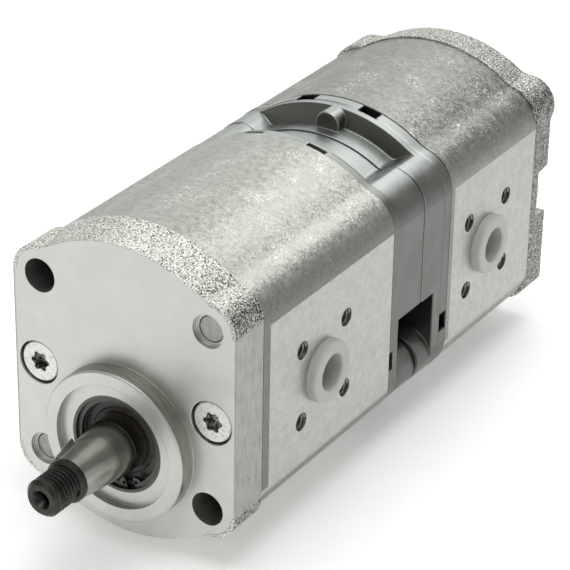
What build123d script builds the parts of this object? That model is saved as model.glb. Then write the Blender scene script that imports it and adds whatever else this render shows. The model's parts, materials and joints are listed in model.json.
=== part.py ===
from build123d import *
import math
import os

# Tandem gear pump.  Millimetres.  The drive shaft runs along Y with its driven end towards -Y, the
# origin is where the shaft axis meets the mounting face, X is across the port faces and Z goes from
# the drive gear up to the idler gear.

# ---- overall section ----
gear_spacing = 32.2
mid_z = gear_spacing / 2
half_width = 39.8
hole_offset = 30.0

# Each casting's outline: radius of the crown, radius of the corners, half width, height of the
# corners above the middle, and the blend between crown and corner.
cover_section = {"arc_r": 48.5, "round_r": 9.8, "side": half_width, "top": 39.8, "blend": 8.0}
body_section = {"arc_r": 49.0, "round_r": 12.5, "side": half_width, "top": 39.5, "blend": 14.0}
middle_front_section = {"arc_r": 48.6, "round_r": 12.1, "side": 39.6, "top": 39.1, "blend": 12.0}
middle_rear_section = {"arc_r": 48.8, "round_r": 12.2, "side": 39.8, "top": 39.3, "blend": 12.0}
rim_section = {"arc_r": 49.05, "round_r": 12.3, "side": 40.0, "top": 39.5, "blend": 12.0}
front_joint_arc_r = 50.6
rear_joint_arc_r = 49.5

# ---- stations along the shaft ----
y_front = 0.0
y_body_1 = 14.2
y_middle_front = 88.0
y_middle_rear = 107.0
y_body_2 = 123.7
y_rear = 181.3
y_end = 193.6
y_boss_end = 195.6

# ---- fixings ----
cap_hole_short = 3.5
cap_lobe_size = 6.7
mount_hole_r = 5.5
tie_r = 4.95
tie_hole_r = 5.25
tie_point_r = 4.15
tie_end_y = 1.9
tie_shoulder_y = 3.6
tie_head_r = 7.4
tie_head_h = 6.0
tie_recess_r = 7.8
tie_recess_depth = 6.6
tie_boss_r = 9.4
cap_screw_x = 31.3
cap_head_r = 6.75
cap_head_h = 4.4
cap_recess_r = 7.2
cap_screw_r = 3.98
cap_screw_len = 20.0
dowel_r = 3.0
dowel_half = 3.6
dowel_x = 26.8

# ---- pilot, shaft seal ----
pilot_r = 25.0
pilot_h = 6.1
pilot_recess_r = 20.5
pilot_recess_depth = 2.2
seal_bore_r = 15.0
seal_front_y = -1.6
seal_back_y = 5.0
circlip_y = -2.9
circlip_t = 1.2

# ---- shafts ----
journal_r = 9.0
bush_r = 11.0
running_gap = 0.05
taper_start_y = -6.5
taper_end_y = -27.3
taper_big_r = 8.93
taper_small_r = 6.85
collar_end_y = -28.9
thread_start_y = -29.7
thread_end_y = -40.5
thread_r = 6.0
thread_core_r = 5.14
thread_pitch = 1.5
thread_run = 8.2
spline_r = 7.4
spline_root_r = 6.4
spline_teeth = 12
neck_r = 8.2
shaft_1_neck_y = 91.3
shaft_1_end_y = 106.4
shaft_2_start_y = 107.6
shaft_2_neck_y = 120.6
sleeve_r = 11.2
sleeve_y0 = 96.4
sleeve_y1 = 117.8
coupling_bore_r = 12.5

# ---- key ----
key_w = 3.0
key_disc_r = 5.0
key_top = 8.25
key_disc_at = 9.55
key_y = -22.0
key_angle = 143.0
key_tilt = 11.0

# ---- gears ----
teeth = 12
module = gear_spacing / teeth
pressure_angle = 25.0
tip_r = 18.68
root_r = 12.95
backlash = 0.13
chamber_r = 19.0
block_r = 18.96
block_len = 20.2
side_gap = 0.15

# ---- body seals ----
body_seal_out_r = 22.7
body_seal_in_r = 21.0
body_seal_depth = 1.6

# ---- ports ----
port_z = 13.8
port_y_1 = 48.3
port_y_2 = 149.5
mill_depth = 0.1
mill_low = -15.9
mill_high = 43.1
mill_start_1 = 3.8
mill_start_2 = 2.6
delivery_r = 7.5
suction_r = 10.0
delivery_bolt = 35.0 / math.sqrt(8)
suction_bolt = 40.0 / math.sqrt(8)
port_tap_r = 3.0
port_tap_depth = 13.0
plug_stem = 11.0
plug_cup = 9.6
plug_flange = 3.3
plug_wall = 1.7
plug_lip = 2.6

# ---- middle covers ----
window_x = 21.0
channel_floor_front_r = 42.8
channel_floor_rear_r = 43.2
channel_y0 = 91.4
channel_y1 = 115.0
channel_wall_run = 2.0
channel_boss_r = 9.3
channel_corner_r = 3.0
pad_front_y = 111.3
pad_r = 4.4
pad_height = 44.6
joint_rim_y = 119.5
notch_front = 2.7
notch_rear = 4.3
notch_floor = 42.5
window_y0 = 92.9
window_y1 = 114.8
window_top = 10.3
hub_r = 24.0

# ---- rear cover ----
rear_draft = 1.0
rear_pocket_y = 186.0
rear_pocket_x = 22.6

corners = [(-1, 1), (1, 1), (-1, -1), (1, -1)]
mount_corners = [(-1, 1), (1, -1)]
tie_corners = [(1, 1), (-1, -1)]


def across(y):
    """Plane square to the shafts at station y: local x is X and local y is Z."""
    return Plane.XZ.offset(-y)


def slab(sketch, y0, y1):
    """Extrude a cross-section between two stations."""
    return extrude(across(y1) * sketch, y1 - y0)


def rod(x, z, r, y0, y1):
    return slab(Pos(x, z) * Circle(r), y0, y1)


def cross_rod(y, z, r, x0, x1):
    """Cylinder along X."""
    return extrude(Plane.YZ.offset(x0) * (Pos(y, z) * Circle(r)), x1 - x0)


def brick(x0, x1, y0, y1, z0, z1):
    corner = Box(x1 - x0, y1 - y0, z1 - z0, align=(Align.MIN, Align.MIN, Align.MIN))
    return Pos(x0, y0, z0) * corner


def turned(points):
    """Solid of revolution about the drive axis from (radius, y) points."""
    profile = make_face(Polyline(*[(r, y, 0) for r, y in points], close=True))
    return revolve(profile, Axis.Y)


def ring(x, z, r_out, r_in, y0, y1):
    return slab(Pos(x, z) * (Circle(r_out) - Circle(r_in)), y0, y1)


def corner_at(sx, sz):
    return sx * hole_offset, mid_z + sz * hole_offset


def outline(arc_r, round_r, side, top, blend):
    """Square with round corners whose top and bottom swell out to one large circle."""
    across_corner = side - round_r
    up_corner = top - round_r
    shape = Circle(arc_r) & Rectangle(2 * hole_offset, 4 * arc_r)
    shape += Rectangle(2 * side, 2 * up_corner)
    for sx, sz in corners:
        shape += Pos(sx * across_corner, sz * up_corner) * Circle(round_r)
    hollow = [v for v in shape.vertices() if abs(v.X) < 35 and abs(v.Y) > 37]
    shape = fillet(hollow, blend)
    return Pos(0, mid_z) * shape


def casting(section, y0, y1, front_ease, rear_ease):
    """Prism of one outline with its two end edges broken."""
    shape = slab(outline(**section), y0, y1)
    for end, ease in ((0, front_ease), (-1, rear_ease)):
        if ease:
            rim = shape.faces().filter_by(Axis.Y).sort_by(Axis.Y)[end].edges()
            shape = chamfer(rim, ease)
    return shape


def twin(r):
    """Figure-eight of two circles, one on each gear axis."""
    return Circle(r) + Pos(0, gear_spacing) * Circle(r)


def bone(r, web):
    """Two circles on the gear axes joined by a straight web."""
    return twin(r) + Pos(0, mid_z) * Rectangle(2 * web, gear_spacing)


def mount_holes(y0, y1):
    holes = Part()
    for sx, sz in mount_corners:
        x, z = corner_at(sx, sz)
        holes += rod(x, z, mount_hole_r, y0, y1)
    return holes


def tie_holes(r, y0, y1):
    holes = Part()
    for sx, sz in tie_corners:
        x, z = corner_at(sx, sz)
        holes += rod(x, z, r, y0, y1)
    return holes


def dowel_places(middle):
    """The joint between the two middle covers has both dowels high, clear of the side windows."""
    if middle:
        return [(-dowel_x, gear_spacing), (dowel_x, gear_spacing)]
    return [(-dowel_x, gear_spacing), (dowel_x, 0.0)]


def dowel_holes(y, middle=False):
    holes = Part()
    for x, z in dowel_places(middle):
        holes += rod(x, z, dowel_r, y - dowel_half - 0.3, y + dowel_half + 0.3)
    return holes


def pair(first, second):
    """Two equal pieces kept as separate solids of one node."""
    return Compound(children=[Solid(first.solids()[0].wrapped), Solid(second.solids()[0].wrapped)])


def dowels(y, middle=False):
    pins = []
    for x, z in dowel_places(middle):
        pin = rod(x, z, dowel_r, y - dowel_half, y + dowel_half)
        pins.append(chamfer(pin.edges().filter_by(GeomType.CIRCLE), 0.5))
    return pair(*pins)


def cap_holes(y, inward):
    """Tapped holes for the two short cover screws, going from the joint at y into a pump body."""
    y0, y1 = sorted((y, y + inward * (cap_screw_len - cap_hole_short)))
    return rod(cap_screw_x, mid_z, 4.0, y0, y1) + rod(-cap_screw_x, mid_z, 4.0, y0, y1)


def seal_loop(y, inward, slack):
    """Figure-eight loop round the gear chamber at a joint, widened by slack to make its groove."""
    y0, y1 = sorted((y, y + inward * body_seal_depth))
    return slab(twin(body_seal_out_r + slack) - twin(body_seal_in_r - slack), y0, y1)


def pump_body(y0, y1, port_y, mill_start, cover_side):
    """Extruded body with gear chamber, milled port faces and two flanged ports."""
    body = casting(body_section, y0, y1, 0.3, 0.3)
    face = half_width - mill_depth
    body -= brick(face, 60, y0 + mill_start, y1 + 1, mill_low, mill_high)
    body -= brick(-60, -face, y0 + mill_start, y1 + 1, mill_low, mill_high)
    body -= slab(twin(chamber_r), y0, y1)
    body -= mount_holes(y0, y1)
    body -= tie_holes(tie_hole_r, y0, y1)
    body -= cross_rod(port_y, port_z, delivery_r, 8, 60)
    body -= cross_rod(port_y, port_z, suction_r, -60, -8)
    for sy, sz in corners:
        for side, step in ((1, delivery_bolt), (-1, suction_bolt)):
            y = port_y + sy * step
            z = port_z + sz * step
            low, high = sorted((side * (face - port_tap_depth), side * 60))
            body -= cross_rod(y, z, port_tap_r, low, high)
    body -= seal_loop(y0, 1, 0.1)
    body -= seal_loop(y1, -1, 0.1)
    body -= dowel_holes(y0)
    body -= dowel_holes(y1)
    if cover_side < 0:
        body -= cap_holes(y0, 1)
    else:
        body -= cap_holes(y1, -1)
    return body


def swell(y_small, y_large, joint_r):
    """Drafted crown and belly that grow towards the joint, between the flat sides."""
    low, high = sorted((y_small, y_large))
    arc_r = cover_section["arc_r"]
    r_low, r_high = (arc_r, joint_r) if y_small < y_large else (joint_r, arc_r)
    cone = turned([(0, low), (r_low, low), (r_high, high), (0, high)])
    return (Pos(0, 0, mid_z) * cone) & brick(-half_width, half_width, low, high, -60, 90)


def front_cover():
    """Flange with the centring spigot, the shaft seal bore and drafted top and bottom."""
    cover = slab(outline(**cover_section), y_front, y_body_1)
    cover += swell(y_front, y_body_1, front_joint_arc_r)
    spigot = rod(0, 0, pilot_r, -pilot_h, 1.0)
    rim = spigot.edges().filter_by(GeomType.CIRCLE).sort_by(Axis.Y)[0]
    cover += chamfer(rim, 0.6)
    floor = -pilot_h + pilot_recess_depth
    cover -= rod(0, 0, pilot_recess_r, -pilot_h - 1, floor)
    cover -= rod(0, 0, seal_bore_r, floor - 1, seal_back_y)
    cover -= rod(0, 0, seal_bore_r + 0.75, circlip_y - 0.05, circlip_y + circlip_t + 0.05)
    cover -= rod(0, 0, 10.6, 0, y_body_1 + 1)
    cover -= mount_holes(-1, y_body_1)
    cover -= tie_holes(mount_hole_r - 0.2, -1, tie_end_y)
    cover -= tie_holes(tie_point_r + 0.15, 0, tie_shoulder_y)
    cover -= tie_holes(tie_r + 0.05, tie_shoulder_y, y_body_1)
    for side in (-1, 1):
        cover -= rod(side * cap_screw_x, mid_z, cap_recess_r, -1, 5.0)
        cover -= rod(side * cap_screw_x, mid_z, 4.4, 4, y_body_1)
    cover -= rod(0, gear_spacing, 7.0, y_body_1 - 2.0, y_body_1)
    cover -= dowel_holes(y_body_1)
    return cover


def channel_section(floor_r):
    """Curved pockets over the crown and under the belly, between the corner bosses."""
    band = Circle(80) - Circle(floor_r)
    band = band & Rectangle(2 * hole_offset, 200)
    for sx, sz in corners:
        band -= Pos(sx * hole_offset, sz * hole_offset) * Circle(channel_boss_r)
    band -= Rectangle(200, 2 * hole_offset)
    inner = [v for v in band.vertices() if 20 < abs(v.X) < 26 and abs(v.Y) < 40]
    band = fillet(inner, channel_corner_r)
    return Pos(0, mid_z) * band


def channel_rear():
    """Pocket of the rear half, whose back wall leans towards the rear."""
    wall_top = channel_y1 + channel_wall_run
    rise = middle_rear_section["arc_r"] - channel_floor_rear_r
    lean = turned([
        (0, channel_y1), (channel_floor_rear_r, channel_y1),
        (channel_floor_rear_r + rise, wall_top), (0, wall_top)])
    return slab(channel_section(channel_floor_rear_r), y_middle_rear, wall_top) - Pos(0, 0, mid_z) * lean


def channel_pad():
    """Round-topped boss in the middle of the crown's pocket."""
    pad = rod(0, mid_z + pad_height, pad_r, pad_front_y, channel_y1 + channel_wall_run)
    front = pad.edges().filter_by(GeomType.CIRCLE).sort_by(Axis.Y)[0]
    return fillet(front, 0.8) & slab(outline(**middle_rear_section), y_middle_rear, y_body_2)


def side_windows(y0, y1, boss_r):
    """Openings low on both sides, leaving the corner bosses and the hub of the coupling."""
    pockets = brick(window_x, 60, y0, y1, -60, window_top)
    pockets += brick(-60, -window_x, y0, y1, -60, window_top)
    for sx in (-1, 1):
        x, z = corner_at(sx, -1)
        pockets -= rod(x, z, boss_r, y0, y1)
    pockets -= rod(0, 0, hub_r, y0, y1)
    return pockets


def pry_notches(y0, y1):
    """Short slots at a joint face where a lever can part the castings."""
    cuts = Part()
    for x in (-13.4, 10.0):
        cuts += brick(x - 3.4, x + 3.4, y0, y1, mid_z + notch_floor, mid_z + 60)
    cuts += brick(half_width - 5, 60, y0, y1, -6.2, 0.3)
    cuts += brick(-60, 5 - half_width, y0, y1, -6.2, 0.3)
    return cuts


def middle_cover_front():
    y0, y1 = y_middle_front, y_middle_rear
    cover = casting(middle_front_section, y0, y1, 0.3, 0.3)
    cover -= mount_holes(y0, y1)
    cover -= tie_holes(tie_hole_r, y0, y1)
    cover -= slab(channel_section(channel_floor_front_r), channel_y0, y1)
    cover -= side_windows(window_y0, y1, 8.4)
    cover -= pry_notches(y0, y0 + notch_front)
    cover -= rod(0, 0, 14.5, y0, y0 + 6.3)
    cover -= rod(0, 0, 9.8, y0, y1)
    cover -= rod(0, 0, coupling_bore_r, y0 + 8, y1)
    cover -= ring(0, 0, 17.6, 15.6, y1 - 1.5, y1)
    cover -= dowel_holes(y0) + dowel_holes(y1, True)
    return cover


def middle_cover_rear():
    y0, y1 = y_middle_rear, y_body_2
    cover = casting(middle_rear_section, y0, y1, 0.5, 0)
    cover += casting(rim_section, joint_rim_y, y1, 0.2, 0.3)
    cover -= mount_holes(y0, y1)
    cover -= tie_holes(tie_hole_r, y0, y1)
    cover -= channel_rear()
    cover += channel_pad()
    cover -= side_windows(y0, window_y1, 9.5)
    cover -= pry_notches(y1 - notch_rear, y1)
    cover -= rod(0, 0, 9.8, y0, y1)
    cover -= rod(0, 0, coupling_bore_r, y0, y1 - 4.7)
    cover -= dowel_holes(y0, True) + dowel_holes(y1)
    return cover


def rear_cover():
    """Blind end cover with drafted sides, bosses round the tie bolt heads and side pockets."""
    cover = slab(outline(**cover_section), y_rear, y_end)
    cover += swell(y_end, y_rear, rear_joint_arc_r)
    for side in (-1, 1):
        edge = side * half_width
        outside = side * 60
        drafted = edge - side * rear_draft
        draft = Polyline((edge, y_rear), (outside, y_rear), (outside, y_end), (drafted, y_end), close=True)
        cover -= extrude(Plane.XY.offset(-60) * make_face(draft), 160)
    for sx, sz in tie_corners:
        x, z = corner_at(sx, sz)
        boss = rod(x, z, tie_boss_r, y_end - 2, y_boss_end)
        rim = boss.edges().filter_by(GeomType.CIRCLE).sort_by(Axis.Y)[-1]
        cover += fillet(rim, 1.2)
    for side in (-1, 1):
        x0, x1 = sorted((side * rear_pocket_x, side * 60))
        cover -= brick(x0, x1, rear_pocket_y, y_boss_end + 1, mid_z - 8.7, mid_z + 8.7)
        cover -= rod(side * cap_screw_x, mid_z, 4.4, y_rear, y_end + 1)
    cover -= mount_holes(y_rear, y_end + 1)
    cover -= tie_holes(tie_hole_r, y_rear, y_boss_end + 1)
    cover -= tie_holes(tie_recess_r, y_boss_end - tie_recess_depth, y_boss_end + 1)
    cover -= rod(0, 0, 10.6, y_rear, y_rear + 2)
    cover -= rod(0, gear_spacing, 7.0, y_rear, y_rear + 2)
    cover -= dowel_holes(y_rear)
    return cover


def six_lobe(size):
    """Six-lobe socket outline, size across the lobe tips."""
    shape = Circle(size * 0.39)
    for i in range(6):
        turn = math.radians(60 * i)
        shape += Pos(size * 0.37 * math.cos(turn), size * 0.37 * math.sin(turn)) * Circle(size * 0.13)
    return shape


def cap_screw(x, head_y, way):
    """Flat-headed screw; way is +1 when the shank points to +Y."""
    head_y0, head_y1 = sorted((head_y, head_y + way * cap_head_h))
    head = rod(x, mid_z, cap_head_r, head_y0, head_y1)
    outer = head.edges().filter_by(GeomType.CIRCLE).sort_by(Axis.Y)[0 if way > 0 else -1]
    head = chamfer(outer, 0.5)
    y0, y1 = sorted((head_y + way * cap_head_h, head_y + way * (cap_head_h + cap_screw_len)))
    screw = head + rod(x, mid_z, cap_screw_r, y0, y1)
    s0, s1 = sorted((head_y, head_y + way * 3.0))
    screw -= slab(Pos(x, mid_z) * six_lobe(cap_lobe_size), s0, s1)
    return screw


def front_cover_screws():
    return pair(cap_screw(-cap_screw_x, 0.6, 1), cap_screw(cap_screw_x, 0.6, 1))


def rear_cover_screws():
    head = rear_pocket_y + cap_head_h
    return pair(cap_screw(-cap_screw_x, head, -1), cap_screw(cap_screw_x, head, -1))


def tie_bolt(sx, sz):
    """Long bolt pulled up from the rear, its chamfered end showing in the front cover."""
    x, z = corner_at(sx, sz)
    seat = y_boss_end - tie_recess_depth
    point = rod(x, z, tie_point_r, tie_end_y, tie_shoulder_y + 1)
    tip = point.edges().filter_by(GeomType.CIRCLE).sort_by(Axis.Y)[0]
    shank = rod(x, z, tie_r, tie_shoulder_y + 0.3, seat) + chamfer(tip, 0.25)
    head = rod(x, z, tie_head_r, seat, seat + tie_head_h)
    top = head.edges().filter_by(GeomType.CIRCLE).sort_by(Axis.Y)[-1]
    head = chamfer(top, 0.5)
    bolt = shank + head
    hexagon = Pos(x, z) * RegularPolygon(8.0 / math.sqrt(3), 6)
    bolt -= slab(hexagon, seat + 1.8, seat + tie_head_h + 1)
    return bolt


def tie_bolts():
    return pair(tie_bolt(1, 1), tie_bolt(-1, -1))


def involute_half(turn_at, r, base_r):
    """Angle of the flank at radius r, measured from the tooth centre line."""
    if r <= base_r:
        return turn_at
    t = math.sqrt((r / base_r) ** 2 - 1)
    return turn_at - (t - math.atan(t))


def gear_section(phase):
    """Twelve involute teeth; phase turns the first tooth away from +Z, in degrees."""
    pitch_r = module * teeth / 2
    base_r = pitch_r * math.cos(math.radians(pressure_angle))
    t = math.tan(math.radians(pressure_angle))
    thickness = math.pi / (2 * teeth) - backlash / 2 / pitch_r
    turn_at = thickness + t - math.radians(pressure_angle)
    radii = [root_r + (base_r - root_r) * i / 2 for i in range(2)]
    radii += [base_r + (tip_r - base_r) * i / 6 for i in range(7)]
    right = [(r, involute_half(turn_at, r, base_r)) for r in radii]
    edges = []
    spot = []
    for k in range(teeth):
        centre = math.radians(90 + phase) + 2 * math.pi * k / teeth
        up = [(r * math.cos(centre - a), r * math.sin(centre - a)) for r, a in right]
        down = [(r * math.cos(centre + a), r * math.sin(centre + a)) for r, a in reversed(right)]
        spot.append((up, down, centre))
    for k in range(teeth):
        up, down, centre = spot[k]
        next_up = spot[(k + 1) % teeth][0]
        low = centre + math.pi / teeth
        edges.append(Line(up[0], up[2]))
        edges.append(Spline(*up[2:]))
        top = (tip_r * math.cos(centre), tip_r * math.sin(centre))
        edges.append(ThreePointArc(up[-1], top, down[0]))
        edges.append(Spline(*down[:-2]))
        edges.append(Line(down[-3], down[-1]))
        bottom = (root_r * math.cos(low), root_r * math.sin(low))
        edges.append(ThreePointArc(down[-1], bottom, next_up[0]))
    return make_face(Wire(edges))


def gear_span(stage):
    if stage == 1:
        return y_body_1 + block_len + side_gap, y_middle_front - block_len - side_gap
    return y_body_2 + block_len + side_gap, y_rear - block_len - side_gap


def thread():
    """Right-hand V ridge wound on the core of the shaft end."""
    run = Helix(pitch=thread_pitch, height=thread_run, radius=thread_core_r - 0.02)
    half = thread_pitch * 0.44
    start = run @ 0
    root = thread_core_r - 0.05
    tooth = Polyline((root, -half), (thread_r, -0.1), (thread_r, 0.1), (root, half), close=True)
    profile = Plane(origin=(0, 0, start.Z), x_dir=(1, 0, 0), z_dir=(0, -1, 0)) * make_face(tooth)
    return sweep(profile, path=run, is_frenet=True)


def splined(y0, y1, root, tip):
    """Stub with straight-sided splines."""
    section = Circle(root)
    for i in range(spline_teeth):
        tooth = Pos((root - 1 + tip) / 2, 0) * Rectangle(tip - root + 1, 1.8)
        section += Rot(0, 0, 360 / spline_teeth * i) * tooth
    return slab(section & Circle(tip), y0, y1)


def key_disc(r, w, top):
    """Disc sitting in its round pocket, rocked so that the rear end stands higher."""
    disc = Cylinder(r, w) & brick(-20, top - key_disc_at, -20, 20, -5, 5)
    seated = Pos(key_disc_at, key_y, 0) * Rot(0, 0, -key_tilt) * disc
    return Rot(0, -key_angle, 0) * seated


def drive_shaft_1():
    g0, g1 = gear_span(1)
    core = thread_core_r
    end = thread_end_y
    neck = shaft_1_neck_y
    shaft = turned([
        (0, end), (4.8, end), (thread_r, end + 1.3), (thread_r, end + 2.1),
        (core, end + 2.7), (core, thread_start_y), (thread_r, thread_start_y),
        (taper_small_r, collar_end_y), (taper_small_r, taper_end_y), (taper_big_r, taper_start_y),
        (journal_r, taper_start_y + 0.3), (journal_r, neck - 0.8), (neck_r, neck), (spline_root_r, neck),
        (spline_root_r, neck + 3.7), (0, neck + 3.7)])
    shaft += slab(gear_section(0), g0, g1)
    shaft += splined(neck + 3.2, shaft_1_end_y, spline_root_r, spline_r)
    shaft += Pos(0, thread_start_y - 0.4, 0) * Rot(90, 0, 0) * thread()
    shaft -= key_disc(key_disc_r + 0.05, key_w + 0.04, 20)
    shaft -= turned([(0, end - 1), (3.6, end - 1), (1.4, end + 2.7), (0, end + 2.7)])
    shaft -= rod(0, 0, 1.4, end, end + 6.5)
    return shaft


def woodruff_key():
    return key_disc(key_disc_r, key_w, key_top)


def drive_shaft_2():
    g0, g1 = gear_span(2)
    neck = shaft_2_neck_y
    end = y_rear - 0.5
    shaft = turned([
        (0, neck - 0.6), (spline_root_r, neck - 0.6), (spline_root_r, neck), (neck_r, neck),
        (journal_r, neck + 0.8), (journal_r, end - 0.8), (neck_r, end), (0, end)])
    shaft += slab(gear_section(0), g0, g1)
    shaft += splined(shaft_2_start_y, neck - 0.4, spline_root_r, spline_r)
    return shaft


def coupling_sleeve():
    """Internally splined sleeve joining the two drive shafts."""
    body = rod(0, 0, sleeve_r, sleeve_y0, sleeve_y1)
    ends = body.edges().filter_by(GeomType.CIRCLE)
    body = chamfer(ends, 0.8)
    section = Circle(spline_root_r + 0.15)
    tooth_h = spline_r - spline_root_r
    for i in range(spline_teeth):
        reach = Pos(spline_root_r + tooth_h / 2 - 0.4, 0) * Rectangle(tooth_h + 1.0, 2.0)
        section += Rot(0, 0, 360 / spline_teeth * i) * reach
    return body - slab(section, sleeve_y0 - 1, sleeve_y1 + 1)


def idler_gear(stage):
    g0, g1 = gear_span(stage)
    y0 = y_body_1 + 0.6 if stage == 1 else y_body_2 + 0.6
    y1 = y_middle_front - 0.6 if stage == 1 else y_rear - 0.6
    shaft = rod(0, 0, journal_r, y0, y1)
    shaft = chamfer(shaft.edges().filter_by(GeomType.CIRCLE), 0.8)
    shaft += slab(gear_section(15), g0, g1)
    return Pos(0, 0, gear_spacing) * shaft


def block_span(stage, rear):
    y0, y1 = (y_body_1, y_middle_front) if stage == 1 else (y_body_2, y_rear)
    if rear:
        return y1 - block_len, y1
    return y0, y0 + block_len


def pressure_side(sketch, x_limit):
    """Keep the part of a section on the delivery side of the pump."""
    return sketch & (Pos(30 + x_limit, mid_z) * Rectangle(60, 120))


def bearing_block(stage, rear):
    """Figure-eight block carrying one end of both shafts."""
    y0, y1 = block_span(stage, rear)
    block = slab(twin(block_r), y0, y1)
    block -= rod(0, 0, bush_r, y0, y1) + rod(0, gear_spacing, bush_r, y0, y1)
    outer, inward = (y1, -1) if rear else (y0, 1)
    g0, g1 = sorted((outer, outer + inward * 2.2))
    block -= slab(pressure_side(bone(15.6, 7.2) - bone(12.6, 4.2), -4.0), g0, g1)
    r0, r1 = (y0, y0 + 1.5) if rear else (y1 - 1.5, y1)
    for side in (-1, 1):
        x0, x1 = sorted((side * 4.0, side * 12.0))
        block -= brick(x0, x1, r0, r1, mid_z - 2.2, mid_z + 2.2)
    return block


def bushes(stage, rear):
    y0, y1 = block_span(stage, rear)
    low = ring(0, 0, bush_r, journal_r + running_gap, y0 + 0.3, y1 - 0.3)
    high = ring(0, gear_spacing, bush_r, journal_r + running_gap, y0 + 0.3, y1 - 0.3)
    return pair(low, high)


def pressure_seal(stage, rear):
    y0, y1 = block_span(stage, rear)
    g0, g1 = (y1 - 2.2, y1) if rear else (y0, y0 + 2.2)
    return slab(pressure_side(bone(15.5, 7.1) - bone(13.9, 5.5), -3.9), g0, g1)


def support_ring(stage, rear):
    y0, y1 = block_span(stage, rear)
    g0, g1 = (y1 - 2.2, y1) if rear else (y0, y0 + 2.2)
    return slab(pressure_side(bone(13.85, 5.45) - bone(12.7, 4.3), -3.9), g0, g1)


def shaft_seal():
    """Rubber-covered radial lip seal with a dust lip and a groove behind for the spring."""
    lip = journal_r + 0.06
    f = seal_front_y
    b = seal_back_y
    return turned([
        (seal_bore_r, f + 0.4), (seal_bore_r, b), (13.4, b), (13.4, f + 2.6), (11.4, f + 2.6),
        (11.2, b - 1.4), (10.6, b - 0.4), (lip + 0.7, b - 0.6), (lip, b - 1.5), (lip + 0.9, b - 2.7),
        (10.2, f + 2.4),
        (lip, f + 1.5), (lip, f + 1.2), (10.4, f + 0.7), (11.0, f + 1.2), (12.8, f + 1.2),
        (13.3, f), (seal_bore_r - 0.4, f)])


def seal_spring():
    """Garter spring pressing the sealing lip."""
    y = seal_back_y - 1.3
    coil = make_face(Pos(12.0, y) * Circle(0.62).edge())
    return revolve(coil, Axis.Y)


def seal_circlip():
    """Internal retaining ring with its gap towards the bottom."""
    band = Circle(15.7) - Circle(13.5)
    for turn in (-62, -42):
        a = math.radians(turn - 20)
        band += (Pos(13.4 * math.cos(a), 13.4 * math.sin(a)) * Circle(1.7)) & Circle(15.2)
    wedge = Rot(0, 0, -72) * (Pos(15, 0) * Rectangle(10, 3.2))
    band -= wedge
    for turn in (-82, -62):
        a = math.radians(turn)
        band -= Pos(13.3 * math.cos(a), 13.3 * math.sin(a)) * Circle(0.6)
    return slab(band, circlip_y, circlip_y + circlip_t)


def interstage_seal():
    """Ring that parts the two pumps where the drive shaft leaves the first stage."""
    y = y_middle_front
    return turned([
        (14.5, y + 0.3), (14.5, y + 6.3), (12.6, y + 6.3), (12.6, y + 2.2), (10.9, y + 2.2),
        (10.4, y + 5.2), (9.6, y + 5.2), (9.06, y + 4.2), (9.06, y + 3.6), (10.0, y + 0.3)])


def middle_seal():
    """O-ring round the coupling chamber between the two middle covers."""
    return ring(0, 0, 17.5, 15.7, y_middle_rear - 1.5, y_middle_rear)


def port_plug(side, port_y, bore_r):
    """Push-in transport plug: hollow ribbed stem and a thick rounded flange."""
    face = half_width - mill_depth
    stem_r = bore_r - 0.12
    stem = cross_rod(port_y, port_z, stem_r - 0.35, face - plug_stem, face)
    for k in range(3):
        start = face - plug_cup + 3.0 * k
        stem += cross_rod(port_y, port_z, stem_r, start, start + 1.0)
    flange = cross_rod(port_y, port_z, bore_r + plug_lip, face, face + plug_flange)
    rim = flange.edges().filter_by(GeomType.CIRCLE).sort_by(Axis.X)[-1]
    plug = stem + fillet(rim, 1.0)
    plug -= cross_rod(port_y, port_z, bore_r - plug_wall, face - plug_cup, face + 9)
    mouths = [e for e in plug.edges().filter_by(GeomType.CIRCLE) if e.radius < bore_r - 1]
    plug = chamfer(ShapeList(mouths).sort_by(Axis.X)[-1], 0.5)
    if side > 0:
        return plug
    return Pos(0, port_y, port_z) * Rot(0, 0, 180) * Pos(0, -port_y, -port_z) * plug


os.makedirs("parts", exist_ok=True)

made = {
    "front_cover": front_cover(),
    "pump_body_1": pump_body(y_body_1, y_middle_front, port_y_1, mill_start_1, -1),
    "middle_cover_front": middle_cover_front(),
    "middle_cover_rear": middle_cover_rear(),
    "pump_body_2": pump_body(y_body_2, y_rear, port_y_2, mill_start_2, 1),
    "rear_cover": rear_cover(),
    "tie_bolts": tie_bolts(),
    "front_cover_screws": front_cover_screws(),
    "rear_cover_screws": rear_cover_screws(),
    "dowels_front": dowels(y_body_1),
    "dowels_stage_1_rear": dowels(y_middle_front),
    "dowels_middle": dowels(y_middle_rear, True),
    "dowels_stage_2_front": dowels(y_body_2),
    "dowels_rear": dowels(y_rear),
    "body_seal_1_front": seal_loop(y_body_1, 1, 0),
    "body_seal_1_rear": seal_loop(y_middle_front, -1, 0),
    "body_seal_2_front": seal_loop(y_body_2, 1, 0),
    "body_seal_2_rear": seal_loop(y_rear, -1, 0),
    "middle_seal": middle_seal(),
    "interstage_seal": interstage_seal(),
    "shaft_seal": shaft_seal(),
    "seal_spring": seal_spring(),
    "seal_circlip": seal_circlip(),
    "drive_shaft_1": drive_shaft_1(),
    "woodruff_key": woodruff_key(),
    "coupling_sleeve": coupling_sleeve(),
    "drive_shaft_2": drive_shaft_2(),
    "idler_gear_1": idler_gear(1),
    "idler_gear_2": idler_gear(2),
    "plug_delivery_1": port_plug(1, port_y_1, delivery_r),
    "plug_delivery_2": port_plug(1, port_y_2, delivery_r),
    "plug_suction_1": port_plug(-1, port_y_1, suction_r),
    "plug_suction_2": port_plug(-1, port_y_2, suction_r),
}
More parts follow.
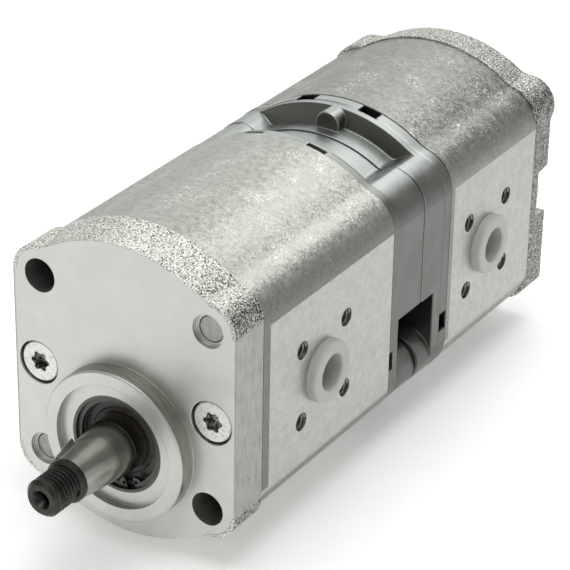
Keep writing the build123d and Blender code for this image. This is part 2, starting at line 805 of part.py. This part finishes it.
for stage in (1, 2):
    for rear in (False, True):
        name = f"{stage}_{'rear' if rear else 'front'}"
        made["bearing_block_" + name] = bearing_block(stage, rear)
        made["bushes_" + name] = bushes(stage, rear)
        made["pressure_seal_" + name] = pressure_seal(stage, rear)
        made["support_ring_" + name] = support_ring(stage, rear)

for name, shape in made.items():
    export_step(shape, f"parts/{name}.step")
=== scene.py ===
import json
import math
import bmesh
import bpy
from mathutils import Matrix, Quaternion, Vector


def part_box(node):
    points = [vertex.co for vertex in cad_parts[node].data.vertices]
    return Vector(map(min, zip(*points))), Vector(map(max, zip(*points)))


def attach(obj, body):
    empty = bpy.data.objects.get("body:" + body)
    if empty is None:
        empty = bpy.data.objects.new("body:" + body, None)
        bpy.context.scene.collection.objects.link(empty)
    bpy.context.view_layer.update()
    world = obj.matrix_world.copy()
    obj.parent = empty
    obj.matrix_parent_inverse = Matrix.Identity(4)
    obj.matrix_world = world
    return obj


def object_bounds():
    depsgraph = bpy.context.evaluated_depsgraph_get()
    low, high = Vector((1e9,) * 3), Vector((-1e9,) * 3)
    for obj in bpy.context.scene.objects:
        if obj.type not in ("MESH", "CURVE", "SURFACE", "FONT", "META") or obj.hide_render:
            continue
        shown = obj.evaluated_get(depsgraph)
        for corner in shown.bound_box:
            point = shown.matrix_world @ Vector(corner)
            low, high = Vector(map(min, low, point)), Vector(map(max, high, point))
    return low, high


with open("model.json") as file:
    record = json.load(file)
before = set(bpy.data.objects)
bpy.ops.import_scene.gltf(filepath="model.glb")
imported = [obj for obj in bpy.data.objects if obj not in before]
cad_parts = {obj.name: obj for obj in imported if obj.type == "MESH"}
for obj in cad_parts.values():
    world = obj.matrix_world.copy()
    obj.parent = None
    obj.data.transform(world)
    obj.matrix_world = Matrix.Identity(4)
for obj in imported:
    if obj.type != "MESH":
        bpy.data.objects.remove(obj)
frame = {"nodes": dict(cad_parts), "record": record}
nodes = frame["nodes"]
cad_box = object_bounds()

MM = 0.001

# ---- the pump's own stations, read from the frame ----
mid_z = sum(corner.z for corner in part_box("pump_body_1")) / 2
body_1_low, body_1_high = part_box("pump_body_1")
body_2_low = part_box("pump_body_2")[0]
middle_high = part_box("middle_cover_front")[1]
screw_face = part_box("front_cover_screws")[0].y / MM

# ---- places on its pieces, in millimetres ----
face_x = 39.7
mill_low = -15.9
mill_high = 43.1
crown_r = 49.0
spigot_r = 25.0
seal_bore_r = 15.0
hole_offset = 30.0
taper_end = -27.3
front_rim_end = 91.4
rear_rim_start = 119.0


# ---------------------------------------------------------------- node helpers
class Paint:
    """A material under construction, with short calls for the shader nodes it needs."""

    def __init__(self, name):
        self.material = bpy.data.materials.new(name)
        self.material.use_nodes = True
        self.tree = self.material.node_tree
        self.bsdf = self.tree.nodes["Principled BSDF"]
        where = self.tree.nodes.new("ShaderNodeTexCoord")
        self.mm = self.scaled(where.outputs["Object"], (1000, 1000, 1000))
        split = self.tree.nodes.new("ShaderNodeSeparateXYZ")
        self.link(self.mm, split.inputs[0])
        self.x, self.y, self.z = split.outputs
        self.up = self.math("SUBTRACT", self.z, mid_z / MM)
        facing = self.tree.nodes.new("ShaderNodeNewGeometry")
        turn = self.tree.nodes.new("ShaderNodeSeparateXYZ")
        self.link(facing.outputs["Normal"], turn.inputs[0])
        self.nx, self.ny = turn.outputs[:2]

    def link(self, source, target):
        self.tree.links.new(source, target)

    def feed(self, socket, value):
        if isinstance(value, bpy.types.NodeSocket):
            self.link(value, socket)
        else:
            socket.default_value = value

    def scaled(self, vector, scale):
        node = self.tree.nodes.new("ShaderNodeMapping")
        self.link(vector, node.inputs["Vector"])
        node.inputs["Scale"].default_value = scale
        return node.outputs[0]

    def noise(self, size, detail=3.0, rough=0.55, stretch=(1, 1, 1)):
        """Noise whose blobs are about size millimetres across."""
        node = self.tree.nodes.new("ShaderNodeTexNoise")
        vector = self.mm if stretch == (1, 1, 1) else self.scaled(self.mm, stretch)
        self.link(vector, node.inputs["Vector"])
        node.inputs["Scale"].default_value = 1.0 / size
        node.inputs["Detail"].default_value = detail
        node.inputs["Roughness"].default_value = rough
        return node.outputs["Fac"]

    def facets(self, size, tilt, mask, below):
        """Small flat grains, each leaning its own way, where mask is 1."""
        cell = self.tree.nodes.new("ShaderNodeTexVoronoi")
        self.link(self.mm, cell.inputs["Vector"])
        cell.inputs["Scale"].default_value = 1.0 / size
        lean = self.vector("SUBTRACT", cell.outputs["Color"], (0.5, 0.5, 0.5))
        lean = self.vector("MULTIPLY", lean, self.math("MULTIPLY", mask, tilt))
        return self.vector("NORMALIZE", self.vector("ADD", below, lean))

    def vector(self, operation, a, b=(0, 0, 0)):
        node = self.tree.nodes.new("ShaderNodeVectorMath")
        node.operation = operation
        self.feed(node.inputs[0], a)
        self.feed(node.inputs[1], b)
        return node.outputs[0]

    def math(self, operation, a, b=0.0):
        node = self.tree.nodes.new("ShaderNodeMath")
        node.operation = operation
        for socket, value in zip(node.inputs, (a, b)):
            self.feed(socket, value)
        return node.outputs[0]

    def both(self, *masks):
        product = masks[0]
        for mask in masks[1:]:
            product = self.math("MULTIPLY", product, mask)
        return product

    def size_of(self, value):
        return self.math("ABSOLUTE", value)

    def seam(self, station, reach=0.3):
        """1 within reach of a joint between two castings, where the callers paint a dark joint line."""
        off = self.size_of(self.math("SUBTRACT", self.y, station))
        return self.step(off, reach + 0.06, reach - 0.06)

    def distance(self, a, b):
        """Length of the two-part vector (a, b)."""
        squares = self.math("ADD", self.math("MULTIPLY", a, a), self.math("MULTIPLY", b, b))
        return self.math("SQRT", squares)

    def step(self, value, low, high, out_low=0.0, out_high=1.0):
        """Smooth ramp from out_low at low to out_high at high."""
        node = self.tree.nodes.new("ShaderNodeMapRange")
        node.interpolation_type = "SMOOTHSTEP"
        self.feed(node.inputs["Value"], value)
        node.inputs["From Min"].default_value = low
        node.inputs["From Max"].default_value = high
        node.inputs["To Min"].default_value = out_low
        node.inputs["To Max"].default_value = out_high
        return node.outputs[0]

    def mix(self, factor, a, b):
        node = self.tree.nodes.new("ShaderNodeMix")
        node.data_type = "RGBA"
        self.feed(node.inputs["Factor"], factor)
        self.feed(node.inputs[6], a if isinstance(a, bpy.types.NodeSocket) else (*a, 1))
        self.feed(node.inputs[7], b if isinstance(b, bpy.types.NodeSocket) else (*b, 1))
        return node.outputs[2]

    def blend(self, factor, a, b):
        """Mix of two plain values."""
        node = self.tree.nodes.new("ShaderNodeMix")
        self.feed(node.inputs["Factor"], factor)
        self.feed(node.inputs[2], a)
        self.feed(node.inputs[3], b)
        return node.outputs[0]

    def bump(self, height, depth, below=None):
        """Bump of the given depth in millimetres."""
        node = self.tree.nodes.new("ShaderNodeBump")
        node.inputs["Distance"].default_value = depth * MM
        self.feed(node.inputs["Height"], height)
        if below is not None:
            self.link(below, node.inputs["Normal"])
        return node.outputs[0]

    def round_edges(self, radius):
        node = self.tree.nodes.new("ShaderNodeBevel")
        node.samples = 6
        node.inputs["Radius"].default_value = radius * MM
        return node.outputs[0]

    def finish(self, **inputs):
        for name, value in inputs.items():
            label = name.replace("_", " ")
            socket = self.bsdf.inputs[label]
            if isinstance(value, tuple) and len(value) == 3:
                value = (*value, 1)
            self.feed(socket, value)
        return self.material


# ---------------------------------------------------------------- materials
def grey(value, warmth=0.06):
    """Metal grey with a faint olive tint."""
    return (value * (1 - 0.25 * warmth), value, value * (1 - warmth * 1.35))


def sand_cast(name, grainy_sides, low, high):
    """Coarse sand-cast skin that sparkles between two tones, with machined faces square to the shafts."""
    paint = Paint(name)
    square = paint.step(paint.size_of(paint.ny), 0.75, 0.6)
    from_middle = paint.distance(paint.x, paint.up)
    outside = paint.step(from_middle, 37.0, 38.0)
    ledge = paint.step(from_middle, crown_r, crown_r + 0.2)
    across = paint.math("SUBTRACT", paint.size_of(paint.x), hole_offset)
    over = paint.math("SUBTRACT", paint.size_of(paint.up), hole_offset)
    clear_of_holes = paint.step(paint.distance(across, over), 8.4, 8.6)
    skin = paint.both(paint.math("MAXIMUM", square, ledge), outside, clear_of_holes)
    if not grainy_sides:
        skin = paint.both(skin, paint.step(paint.size_of(paint.up), 29.6, 31.0))
    grain = paint.noise(0.5, detail=3.0, rough=0.65)
    lumps = paint.noise(2.2, detail=2.0)
    tone = paint.mix(paint.step(grain, 0.40, 0.58), grey(low, 0.08), grey(high, 0.06))
    # The palest grains are painted full white: painted glints.
    tone = paint.mix(paint.step(grain, 0.54, 0.62), tone, grey(1.0, 0.02))
    patch = paint.math("ADD", grain, paint.step(lumps, 0.35, 0.65, -0.03, 0.03))
    # Faces turned sideways are painted darker and given more dark pits: painted shade.
    side = paint.step(paint.size_of(paint.nx), 0.45, 0.85)
    patch = paint.math("SUBTRACT", patch, paint.math("MULTIPLY", side, 0.09))
    tone = paint.mix(paint.math("MULTIPLY", side, 0.4), tone, grey(0.10))
    tone = paint.mix(paint.step(patch, 0.46, 0.38), tone, grey(0.04))
    film = paint.noise(14.0, detail=3.0)
    cut = paint.mix(paint.step(film, 0.35, 0.7), grey(0.60, 0.03), grey(0.67, 0.03))
    from_shaft = paint.distance(paint.x, paint.z)
    in_front = paint.step(paint.y, 10.0, 9.5)
    spigot = paint.both(paint.step(from_shaft, spigot_r + 0.6, spigot_r + 0.2), in_front)
    round_wall = paint.both(spigot, square)
    # The spigot's round wall is painted a darker brown with streaks round it: turned finish with painted
    # reflection stripes.
    turning_and_reflection_streaks = paint.noise(1.2, detail=3.0, stretch=(0.15, 2.5, 0.15))
    spigot_tone_and_reflection = paint.mix(paint.step(turning_and_reflection_streaks, 0.35, 0.7), grey(0.30, 0.10), grey(0.46, 0.08))
    cut = paint.mix(round_wall, cut, spigot_tone_and_reflection)
    # The seal bore is painted nearly black: painted shade inside the bore.
    bore = paint.both(spigot, paint.step(from_shaft, seal_bore_r + 1.2, seal_bore_r + 0.9))
    cut = paint.mix(bore, cut, grey(0.12, 0.15))
    flat_side = paint.step(paint.size_of(paint.x), 39.2, 39.5)
    scuff = paint.noise(2.0, detail=6.0, rough=0.7, stretch=(1, 1, 0.4))
    worn = paint.mix(paint.step(scuff, 0.34, 0.60), grey(0.32), grey(0.39))
    gouge = paint.both(paint.step(scuff, 0.42, 0.36), paint.step(film, 0.48, 0.6))
    worn = paint.mix(gouge, worn, grey(0.20))
    cut = paint.mix(flat_side, cut, worn)
    specks = paint.both(paint.step(paint.noise(0.5, detail=2.0), 0.30, 0.26), spigot)
    cut = paint.mix(paint.math("MULTIPLY", specks, 0.7), cut, grey(0.14))
    colour = paint.mix(skin, cut, tone)
    rough = paint.blend(skin, paint.step(film, 0.3, 0.7, 0.36, 0.46), 0.36)
    marks = paint.noise(0.35, detail=2.0, stretch=(1, 1, 6))
    normal = paint.bump(marks, 0.004, below=paint.round_edges(1.8 if grainy_sides else 0.35))
    height = paint.math("ADD", grain, paint.math("MULTIPLY", lumps, 0.8))
    normal = paint.bump(paint.math("MULTIPLY", height, skin), 0.35, below=normal)
    lean = paint.math("MULTIPLY", skin, paint.blend(side, 0.6, 1.0))
    normal = paint.facets(0.38, 0.9, lean, normal)
    return paint.finish(Base_Color=colour, Metallic=1.0, Roughness=rough, Normal=normal)


def extrusion(name, painted_brightness, front):
    """Extruded aluminium skin with fine scuffs, and paler milled port faces; front is its front joint. The
    second argument scales the skin's tones as painted light and shade, and faces turned sideways are
    painted darker as painted shade.
    """
    paint = Paint(name)
    side = paint.size_of(paint.nx)
    milled = paint.both(
        paint.step(side, 0.95, 0.99),
        paint.step(paint.size_of(paint.x), face_x + 0.06, face_x + 0.03),
        paint.step(paint.z, mill_high + 0.02, mill_high - 0.06),
        paint.step(paint.z, mill_low - 0.04, mill_low + 0.04))
    cloud = paint.noise(11.0, detail=4.0, rough=0.6)
    mottle = paint.noise(2.4, detail=5.0, rough=0.72)
    fine = paint.noise(0.7, detail=2.0)
    skin = paint.mix(paint.step(mottle, 0.36, 0.64), grey(0.36 * painted_brightness), grey(0.50 * painted_brightness))
    dents = paint.both(paint.step(paint.noise(1.5, detail=3.0), 0.34, 0.26), paint.step(cloud, 0.40, 0.55))
    skin = paint.mix(paint.math("MULTIPLY", dents, 0.7), skin, grey(0.14))
    flecks = paint.both(paint.step(fine, 0.56, 0.64), paint.step(cloud, 0.50, 0.62))
    skin = paint.mix(paint.math("MULTIPLY", flecks, 0.8), skin, grey(0.85))
    # Faces turned sideways are painted darker: painted shade.
    skin = paint.mix(paint.step(side, 0.70, 0.99), skin, grey(0.20 / painted_brightness))
    skin = paint.mix(paint.seam(front), skin, grey(0.06))
    cut = paint.mix(paint.step(mottle, 0.32, 0.68), grey(0.45, 0.04), grey(0.54, 0.04))
    scratch = paint.noise(0.5, detail=2.0, stretch=(1, 0.04, 1))
    scratches = paint.both(paint.step(scratch, 0.68, 0.74), paint.step(mottle, 0.45, 0.55))
    cut = paint.mix(paint.math("MULTIPLY", scratches, 0.5), cut, grey(0.30))
    colour = paint.mix(milled, skin, cut)
    rough = paint.blend(milled, paint.step(mottle, 0.3, 0.7, 0.34, 0.46), 0.46)
    height = paint.math("ADD", paint.math("MULTIPLY", mottle, 0.8), fine)
    normal = paint.bump(height, 0.06, below=paint.round_edges(0.3))
    normal = paint.facets(0.6, 0.22, paint.math("SUBTRACT", 1.0, milled), normal)
    return paint.finish(Base_Color=colour, Metallic=1.0, Roughness=rough, Normal=normal)


def die_cast():
    """Smooth pressure-cast aluminium, painted darker on the sides and outer corners as painted shade."""
    paint = Paint("middle_casting")
    side = paint.size_of(paint.nx)
    cloud = paint.noise(9.0, detail=4.0, rough=0.6)
    fine = paint.noise(0.8, detail=3.0, rough=0.6)
    skin = paint.mix(paint.step(cloud, 0.3, 0.7), (0.335, 0.36, 0.345), (0.425, 0.45, 0.435))
    # Outer corners and faces turned sideways are painted darker, the flat sides darkest: painted shade.
    walls = paint.mix(paint.step(cloud, 0.3, 0.7), grey(0.20, 0.03), grey(0.27, 0.03))
    walls = paint.mix(paint.step(side, 0.70, 0.99), walls, grey(0.13, 0.03))
    out = paint.step(paint.size_of(paint.x), 30.0, 38.0)
    colour = paint.mix(paint.math("MAXIMUM", out, paint.step(side, 0.5, 0.8)), skin, walls)
    flat = paint.both(paint.step(side, 0.985, 0.995), paint.step(paint.size_of(paint.up), 27.2, 26.8))
    colour = paint.mix(flat, colour, grey(0.16, 0.03))
    # Walls facing along the shaft are painted dark inside the channel as painted shade, and pale on the
    # rims and in their notches as painted light.
    front_rim = paint.step(paint.y, front_rim_end, front_rim_end - 0.2)
    rim = paint.math("MAXIMUM", front_rim, paint.step(paint.y, rear_rim_start, rear_rim_start + 0.2))
    end_wall = paint.mix(rim, grey(0.15), grey(0.75))
    colour = paint.mix(paint.step(paint.size_of(paint.ny), 0.7, 0.95), colour, end_wall)
    in_front = paint.step(paint.y, front_rim_end + 0.1, front_rim_end - 0.1)
    front_strip = paint.both(in_front, paint.step(paint.x, 13.0, 15.0))
    colour = paint.mix(paint.math("MULTIPLY", front_strip, 0.6), colour, grey(0.16, 0.12))
    colour = paint.mix(paint.both(paint.seam(middle_high.y / MM, 0.25), side), colour, grey(0.03))
    colour = paint.mix(paint.seam(body_2_low.y / MM, 0.5), colour, grey(0.03))
    rough = paint.step(cloud, 0.3, 0.7, 0.30, 0.42)
    height = paint.math("ADD", paint.math("MULTIPLY", fine, 0.4), cloud)
    normal = paint.bump(height, 0.06, below=paint.round_edges(0.9))
    return paint.finish(Base_Color=colour, Metallic=1.0, Roughness=rough, Normal=normal)


def ground_steel(name, tone, dark_before=None):
    """Ground steel with fine rings round the shaft; oxide black before the given station."""
    paint = Paint(name)
    rings = paint.noise(0.9, detail=2.0, stretch=(0.01, 1, 0.01))
    film = paint.noise(6.0, detail=3.0)
    steel = [(v, 0.98 * v, 0.90 * v) for v in (tone, 1.2 * tone)]
    colour = paint.mix(paint.step(film, 0.35, 0.7), *steel)
    rough = paint.step(rings, 0.3, 0.7, 0.20, 0.26)
    if dark_before is not None:
        black = paint.step(paint.y, dark_before + 0.05, dark_before - 0.05)
        worn = paint.step(paint.noise(0.6, detail=4.0, rough=0.7), 0.5, 0.72)
        oxide = paint.mix(worn, grey(0.05), grey(0.12))
        colour = paint.mix(black, colour, oxide)
        rough = paint.blend(black, rough, 0.38)
    normal = paint.bump(rings, 0.002, below=paint.round_edges(0.15))
    return paint.finish(Base_Color=colour, Metallic=1.0, Roughness=rough, Normal=normal)


def plated(name, tone, spot, size, dirt_and_shade_behind=None):
    """Plated steel with a mottled passivation; behind the given station, in the recesses, dark patches are
    painted: dirt and painted shade.
    """
    paint = Paint(name)
    mottle = paint.noise(size, detail=4.0, rough=0.65)
    colour = paint.mix(paint.step(mottle, 0.30, 0.46), grey(spot, 0.02), grey(tone, 0.02))
    if dirt_and_shade_behind is not None:
        # Inside the recesses dark patches are painted: dirt and painted shade.
        dirt_and_shade = paint.step(paint.noise(1.1, detail=3.0, rough=0.7), 0.56, 0.46)
        deep = paint.step(paint.y, dirt_and_shade_behind + 0.1, dirt_and_shade_behind + 0.5)
        colour = paint.mix(paint.both(dirt_and_shade, deep), colour, grey(0.09))
    rough = paint.step(mottle, 0.35, 0.65, 0.5, 0.3)
    normal = paint.bump(mottle, 0.05, below=paint.round_edges(0.25))
    return paint.finish(Base_Color=colour, Metallic=1.0, Roughness=rough, Normal=normal)


def rubber():
    paint = Paint("seal_rubber")
    film = paint.noise(1.5, detail=4.0)
    colour = paint.mix(paint.step(film, 0.35, 0.7), (0.020, 0.016, 0.015), (0.060, 0.048, 0.044))
    normal = paint.bump(paint.noise(0.4, detail=2.0), 0.02, below=paint.round_edges(0.2))
    return paint.finish(Base_Color=colour, Metallic=0.0, Roughness=paint.step(film, 0.3, 0.7, 0.3, 0.5),
                        Normal=normal)


def plastic(name, tone, clear):
    """Moulded polyethylene that lets some light through."""
    paint = Paint(name)
    film = paint.noise(3.0, detail=3.0)
    colour = paint.mix(paint.step(film, 0.3, 0.7), tuple(0.93 * v for v in tone), tone)
    normal = paint.bump(paint.noise(0.7, detail=2.0), 0.02, below=paint.round_edges(0.3))
    paint.bsdf.inputs["Transmission Weight"].default_value = clear
    paint.bsdf.inputs["IOR"].default_value = 1.5
    return paint.finish(Base_Color=colour, Metallic=0.0, Roughness=paint.step(film, 0.3, 0.7, 0.38, 0.5),
                        Normal=normal)


def bronze():
    paint = Paint("bush_bronze")
    film = paint.noise(1.2, detail=3.0)
    colour = paint.mix(paint.step(film, 0.35, 0.7), (0.42, 0.26, 0.12), (0.62, 0.42, 0.22))
    normal = paint.bump(film, 0.01, below=paint.round_edges(0.2))
    return paint.finish(Base_Color=colour, Metallic=1.0, Roughness=paint.step(film, 0.3, 0.7, 0.3, 0.45),
                        Normal=normal)


by_slot = {
    # The rear cover's sand-cast skin is toned darker than the front cover's: painted shade.
    "cover_casting": sand_cast("cover_casting", True, 0.24, 0.66),
    "body_extrusion": extrusion("body_extrusion", 1.0, body_1_low.y / MM),
    "middle_casting": die_cast(),
    "bolt_steel": plated("bolt_steel", 0.36, 0.30, 1.4),
    "screw_zinc": plated("screw_zinc", 0.76, 0.36, 0.8),
    "gear_steel": ground_steel("gear_steel", 0.48),
    # The shaft's steel is toned darker than the gear steel: painted shade for the journal inside the bore.
    "shaft_steel": ground_steel("shaft_steel", 0.34, taper_end),
    "key_steel": ground_steel("key_steel", 0.26),
    "sleeve_steel": plated("sleeve_steel", 0.20, 0.12, 1.0),
    "seal_rubber": rubber(),
    "spring_steel": plated("spring_steel", 0.10, 0.05, 1.0),
    "plug_plastic": plastic("plug_plastic", (0.64, 0.65, 0.62), 0.25),
    "support_plastic": plastic("support_plastic", (0.78, 0.75, 0.66), 0.0),
    "block_aluminium": plated("block_aluminium", 0.65, 0.52, 2.5),
    "bush_bronze": bronze(),
}
for part in frame["record"]["subparts"]:
    mesh = nodes[part["node"]].data
    mesh.materials.clear()
    mesh.materials.append(by_slot[part["material_slot"]])
port_tap = plated("port_tap", 0.26, 0.16, 0.6)
by_node = {
    # The front cover's sand-cast skin is toned paler than the rear cover's: painted highlight.
    "front_cover": sand_cast("front_casting_painted_highlight", False, 0.42, 0.94),
    "front_cover_screws": plated("front_screw_zinc", 0.76, 0.36, 0.8, screw_face),
    # The second body's skin is painted at 0.74 of the first body's brightness: painted shade.
    "pump_body_2": extrusion("body_2_extrusion_painted_shade", 0.74, body_2_low.y / MM),
}
for name, material in by_node.items():
    nodes[name].data.materials.clear()
    nodes[name].data.materials.append(material)


# ---------------------------------------------------------------- threads in the port screw holes
port_z = 13.8
port_stations = (48.3, 149.5)
bolt_step = {1: 35.0 / math.sqrt(8), -1: 40.0 / math.sqrt(8)}
thread_r = 3.0
thread_crest_r = 2.5
thread_half = 0.42
thread_lead_in = 0.8
thread_pitch = 1.0
thread_turns = 9
thread_cuts = 28


def thread_ridge(side, y, z):
    """Triangular ridge wound inside one tapped hole of a port face."""
    mesh = bpy.data.meshes.new("port_thread")
    build = bmesh.new()
    root_r = thread_r + 0.02
    rings = []
    for i in range(thread_turns * thread_cuts + 1):
        turn = 2 * math.pi * i / thread_cuts
        depth = thread_lead_in + thread_pitch * i / thread_cuts
        ring = []
        for r, d in ((root_r, depth - thread_half), (thread_crest_r, depth), (root_r, depth + thread_half)):
            over, above = r * math.cos(turn), r * math.sin(turn)
            ring.append(build.verts.new((side * (face_x - d) * MM, (y + over) * MM, (z + above) * MM)))
        rings.append(ring)
    for now, after in zip(rings, rings[1:]):
        for k in range(3):
            build.faces.new((now[k], now[(k + 1) % 3], after[(k + 1) % 3], after[k]))
    build.faces.new(rings[0])
    build.faces.new(reversed(rings[-1]))
    bmesh.ops.recalc_face_normals(build, faces=build.faces)
    build.to_mesh(mesh)
    build.free()
    mesh.materials.append(port_tap)
    piece = bpy.data.objects.new("port_thread", mesh)
    bpy.context.scene.collection.objects.link(piece)
    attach(piece, "housing")


for side, step in bolt_step.items():
    for station in port_stations:
        for over, above in ((-1, -1), (-1, 1), (1, -1), (1, 1)):
            thread_ridge(side, station + over * step, port_z + above * step)


# ---------------------------------------------------------------- floor, light, camera
floor_half_width = 3.0
floor_gap = 0.0005


def floor():
    mesh = bpy.data.meshes.new("floor")
    grid = bmesh.new()
    bmesh.ops.create_grid(grid, x_segments=1, y_segments=1, size=floor_half_width)
    grid.to_mesh(mesh)
    grid.free()
    piece = bpy.data.objects.new("floor", mesh)
    piece.location.z = cad_box[0].z - floor_gap
    bpy.context.scene.collection.objects.link(piece)
    paint = Paint("floor")
    speck = paint.noise(40.0, detail=2.0)
    colour = paint.mix(speck, (0.92, 0.92, 0.92), (0.95, 0.95, 0.95))
    paint.bsdf.inputs["Emission Color"].default_value = (1, 1, 1, 1)
    paint.bsdf.inputs["Emission Strength"].default_value = 0.25
    mesh.materials.append(paint.finish(Base_Color=colour, Metallic=0.0, Roughness=0.9))


def soft_box(name, aim, direction, distance, width, height, radiance):
    """Area light of a given radiance that looks at the point aim from a direction."""
    data = bpy.data.lights.new(name, "AREA")
    data.shape = "RECTANGLE"
    data.size = width
    data.size_y = height
    data.energy = radiance * math.pi * width * height
    lamp = bpy.data.objects.new(name, data)
    lamp.visible_camera = False
    back = Vector(direction).normalized()
    lamp.location = aim + back * distance
    lamp.rotation_mode = "QUATERNION"
    lamp.rotation_quaternion = (-back).to_track_quat("-Z", "Y")
    bpy.context.scene.collection.objects.link(lamp)


def surroundings():
    world = bpy.data.worlds.new("studio")
    bpy.context.scene.world = world
    world.use_nodes = True
    tree = world.node_tree
    backdrop = tree.nodes["Background"]
    where = tree.nodes.new("ShaderNodeTexCoord")
    split = tree.nodes.new("ShaderNodeSeparateXYZ")
    tree.links.new(where.outputs["Generated"], split.inputs[0])
    ramp = tree.nodes.new("ShaderNodeValToRGB")
    tree.links.new(split.outputs[2], ramp.inputs[0])
    stops = ramp.color_ramp.elements
    stops[0].position, stops[0].color = 0.0, (0.55, 0.55, 0.53, 1)
    stops[1].position, stops[1].color = 0.5, (0.36, 0.36, 0.35, 1)
    tree.links.new(ramp.outputs[0], backdrop.inputs["Color"])


def lights():
    low, high = cad_box
    centre = (low + high) / 2
    crown = Vector((0.0, body_1_low.y, body_1_high.z))
    soft_box("back_left", centre, (-0.47, 0.744, 0.475), 1.2, 1.1, 0.7, 0.95)
    soft_box("streak", crown + Vector((0.02, 0.02, 0)), (0.08, 0.744, 0.66), 0.32, 0.20, 0.14, 2.2)
    soft_box("overhead", centre, (0.0, -0.15, 1.0), 1.4, 1.2, 1.2, 2.6)
    soft_box("right", centre, (1.0, 0.5, 0.25), 1.3, 0.8, 0.5, 0.35)


def camera():
    data = bpy.data.cameras.new("camera")
    data.sensor_width = 36.0
    data.lens = 163.0
    seat = bpy.data.objects.new("camera", data)
    eye = Vector((0.38934, -0.52882, 0.40624))
    aim = Vector((0.00513, 0.08010, 0.01802))
    roll = math.radians(-1.08)
    forward = (aim - eye).normalized()
    right = forward.cross(Vector((0, 0, 1))).normalized()
    right = Quaternion(forward, roll) @ right
    up = right.cross(forward)
    turn = Matrix((right, up, -forward)).transposed()
    seat.matrix_world = Matrix.Translation(eye) @ turn.to_4x4()
    bpy.context.scene.collection.objects.link(seat)
    bpy.context.scene.camera = seat


floor()
surroundings()
lights()
camera()
bpy.context.scene.view_settings.view_transform = "Standard"
